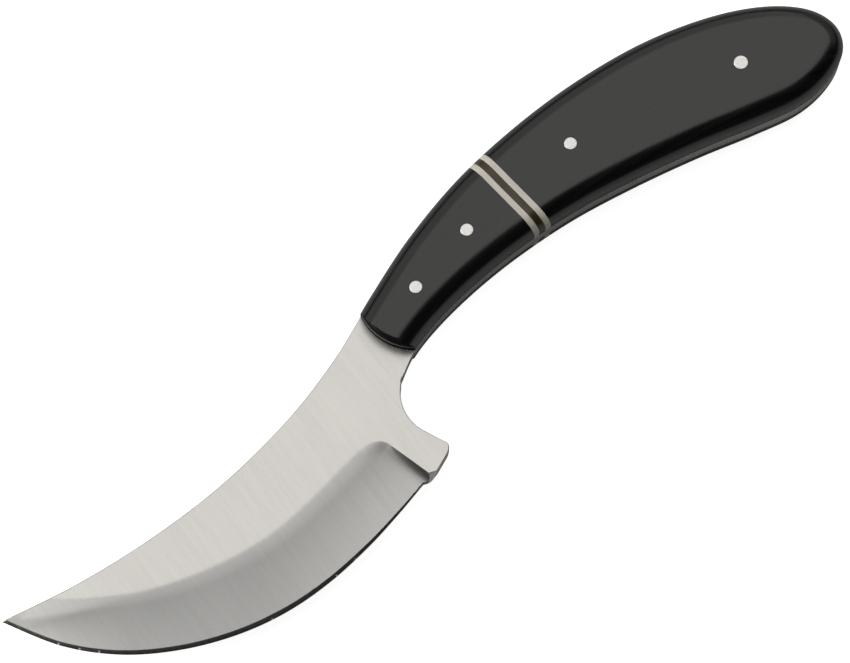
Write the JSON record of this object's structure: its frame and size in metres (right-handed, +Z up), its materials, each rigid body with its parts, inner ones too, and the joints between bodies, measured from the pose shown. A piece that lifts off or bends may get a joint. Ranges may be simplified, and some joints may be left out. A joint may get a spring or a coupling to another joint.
{
  "type": "hoof knife",
  "caption": "Fixed-blade hoof-pattern knife: upswept hollow-ground blade, finger notch and lug, black pinned scales with bone spacers.",
  "frame": {"origin": "middle of the knife's bounding box in plan, at the outer face of the right scale, on which the knife lies", "axes": "+X from the point of the blade to the butt, +Y towards the spine, +Z up through the thickness to the left scale"},
  "size_m": [0.235, 0.0608, 0.017],
  "materials": {
    "blade_steel": "satin steel with fine brush lines running across the flats and the hollow grind",
    "black_horn": "near-black polished horn with faint grain along the handle",
    "bone": "cream bone, polished with the handle",
    "dark_spacer": "dark brown, nearly black, polished with the handle",
    "pin_metal": "pale metal pin ends sanded flush with the scales"
  },
  "bodies": {
    "root": {"blade": "blade_steel", "left_front_scale": "black_horn", "left_rear_scale": "black_horn", "right_front_scale": "black_horn", "right_rear_scale": "black_horn", "left_front_bone_spacer": "bone", "left_rear_bone_spacer": "bone", "right_front_bone_spacer": "bone", "right_rear_bone_spacer": "bone", "left_dark_spacer": "dark_spacer", "right_dark_spacer": "dark_spacer", "pin_1": "pin_metal", "pin_2": "pin_metal", "pin_3": "pin_metal", "pin_4": "pin_metal"}
  },
  "joints": []
}
